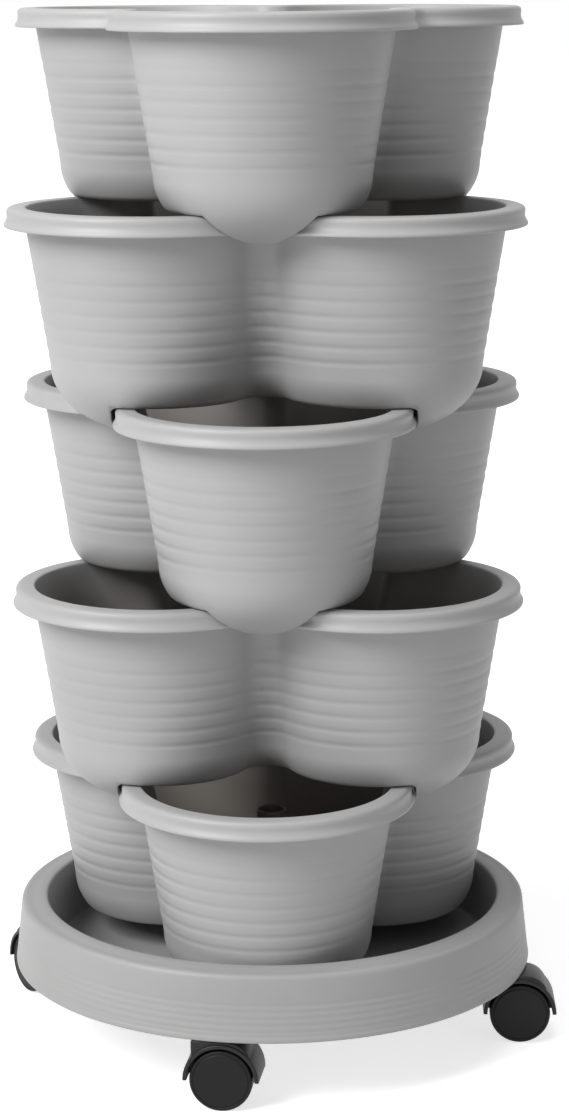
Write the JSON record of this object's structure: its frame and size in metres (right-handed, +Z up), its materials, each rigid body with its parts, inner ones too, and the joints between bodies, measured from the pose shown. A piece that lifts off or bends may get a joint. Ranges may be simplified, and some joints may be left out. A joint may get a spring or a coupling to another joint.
{
  "type": "vertical planter tower",
  "caption": "Stack of three-lobed pots, each turned against the one below, with drain grids, on a round rolling tray with hooded twin-wheel casters.",
  "frame": {"origin": "on the floor, on the tower's centre line", "axes": "+Z up, -Y towards the front lobe of the top pot, +X to the right seen from the front"},
  "size_m": [0.3784, 0.352, 0.6757],
  "materials": {
    "grey_plastic": "satin moulded polypropylene, light grey",
    "grid_plastic": "matt moulded polypropylene, a little darker",
    "caster_plastic": "semi-gloss black nylon",
    "wheel_plastic": "satin black nylon",
    "steel": "zinc-plated steel"
  },
  "bodies": {
    "tray": {"rolling_tray": "grey_plastic"},
    "caster_1": {"caster_1_housing": "caster_plastic", "caster_1_stem": "steel", "caster_1_axle": "steel"},
    "caster_1_wheel_a": {"caster_1_wheel_a": "wheel_plastic"},
    "caster_1_wheel_b": {"caster_1_wheel_b": "wheel_plastic"},
    "caster_2": {"caster_2_housing": "caster_plastic", "caster_2_stem": "steel", "caster_2_axle": "steel"},
    "caster_2_wheel_a": {"caster_2_wheel_a": "wheel_plastic"},
    "caster_2_wheel_b": {"caster_2_wheel_b": "wheel_plastic"},
    "caster_3": {"caster_3_housing": "caster_plastic", "caster_3_stem": "steel", "caster_3_axle": "steel"},
    "caster_3_wheel_a": {"caster_3_wheel_a": "wheel_plastic"},
    "caster_3_wheel_b": {"caster_3_wheel_b": "wheel_plastic"},
    "caster_4": {"caster_4_housing": "caster_plastic", "caster_4_stem": "steel", "caster_4_axle": "steel"},
    "caster_4_wheel_a": {"caster_4_wheel_a": "wheel_plastic"},
    "caster_4_wheel_b": {"caster_4_wheel_b": "wheel_plastic"},
    "pot_1": {"pot_1": "grey_plastic"},
    "drain_grid_1": {"drain_grid_1": "grid_plastic"},
    "pot_2": {"pot_2": "grey_plastic"},
    "drain_grid_2": {"drain_grid_2": "grid_plastic"},
    "pot_3": {"pot_3": "grey_plastic"},
    "drain_grid_3": {"drain_grid_3": "grid_plastic"},
    "pot_4": {"pot_4": "grey_plastic"},
    "drain_grid_4": {"drain_grid_4": "grid_plastic"},
    "pot_5": {"pot_5": "grey_plastic"},
    "drain_grid_5": {"drain_grid_5": "grid_plastic"}
  },
  "joints": [
    {"name": "caster_1_swivel", "type": "hinge", "parent": "tray", "child": "caster_1", "pos_m": [-0.03726, -0.15401, 0.0462], "axis": [0, 0, 1], "continuous": true},
    {"name": "caster_1_wheel_a_spin", "type": "hinge", "parent": "caster_1", "child": "caster_1_wheel_a", "pos_m": [-0.02532, -0.15526, 0.02], "axis": [0.1045, 0.9945, 0], "continuous": true},
    {"name": "caster_1_wheel_b_spin", "type": "hinge", "parent": "caster_1", "child": "caster_1_wheel_b", "pos_m": [-0.02532, -0.15526, 0.02], "axis": [0.1045, 0.9945, 0], "continuous": true},
    {"name": "caster_2_swivel", "type": "hinge", "parent": "tray", "child": "caster_2", "pos_m": [0.15401, -0.03726, 0.0462], "axis": [0, 0, 1], "continuous": true},
    {"name": "caster_2_wheel_a_spin", "type": "hinge", "parent": "caster_2", "child": "caster_2_wheel_a", "pos_m": [0.16601, -0.03726, 0.02], "axis": [0, 1, 0], "continuous": true},
    {"name": "caster_2_wheel_b_spin", "type": "hinge", "parent": "caster_2", "child": "caster_2_wheel_b", "pos_m": [0.16601, -0.03726, 0.02], "axis": [0, 1, 0], "continuous": true},
    {"name": "caster_3_swivel", "type": "hinge", "parent": "tray", "child": "caster_3", "pos_m": [0.03726, 0.15401, 0.0462], "axis": [0, 0, 1], "continuous": true},
    {"name": "caster_3_wheel_a_spin", "type": "hinge", "parent": "caster_3", "child": "caster_3_wheel_a", "pos_m": [0.02526, 0.15401, 0.02], "axis": [0, -1, 0], "continuous": true},
    {"name": "caster_3_wheel_b_spin", "type": "hinge", "parent": "caster_3", "child": "caster_3_wheel_b", "pos_m": [0.02526, 0.15401, 0.02], "axis": [0, -1, 0], "continuous": true},
    {"name": "caster_4_swivel", "type": "hinge", "parent": "tray", "child": "caster_4", "pos_m": [-0.15401, 0.03726, 0.0462], "axis": [0, 0, 1], "continuous": true},
    {"name": "caster_4_wheel_a_spin", "type": "hinge", "parent": "caster_4", "child": "caster_4_wheel_a", "pos_m": [-0.16106, 0.04697, 0.02], "axis": [-0.809, -0.5878, 0], "continuous": true},
    {"name": "caster_4_wheel_b_spin", "type": "hinge", "parent": "caster_4", "child": "caster_4_wheel_b", "pos_m": [-0.16106, 0.04697, 0.02], "axis": [-0.809, -0.5878, 0], "continuous": true},
    {"name": "pot_1_lift", "type": "slide", "parent": "tray", "child": "pot_1", "axis": [0, 0, 1], "range_m": [0, 0.15]},
    {"name": "drain_grid_1_lift", "type": "slide", "parent": "pot_1", "child": "drain_grid_1", "axis": [0, 0, 1], "range_m": [0, 0.09]},
    {"name": "pot_2_lift", "type": "slide", "parent": "pot_1", "child": "pot_2", "axis": [0, 0, 1], "range_m": [0, 0.15]},
    {"name": "drain_grid_2_lift", "type": "slide", "parent": "pot_2", "child": "drain_grid_2", "axis": [0, 0, 1], "range_m": [0, 0.09]},
    {"name": "pot_3_lift", "type": "slide", "parent": "pot_2", "child": "pot_3", "axis": [0, 0, 1], "range_m": [0, 0.15]},
    {"name": "drain_grid_3_lift", "type": "slide", "parent": "pot_3", "child": "drain_grid_3", "axis": [0, 0, 1], "range_m": [0, 0.09]},
    {"name": "pot_4_lift", "type": "slide", "parent": "pot_3", "child": "pot_4", "axis": [0, 0, 1], "range_m": [0, 0.15]},
    {"name": "drain_grid_4_lift", "type": "slide", "parent": "pot_4", "child": "drain_grid_4", "axis": [0, 0, 1], "range_m": [0, 0.09]},
    {"name": "pot_5_lift", "type": "slide", "parent": "pot_4", "child": "pot_5", "axis": [0, 0, 1], "range_m": [0, 0.15]},
    {"name": "drain_grid_5_lift", "type": "slide", "parent": "pot_5", "child": "drain_grid_5", "axis": [0, 0, 1], "range_m": [0, 0.13]}
  ]
}
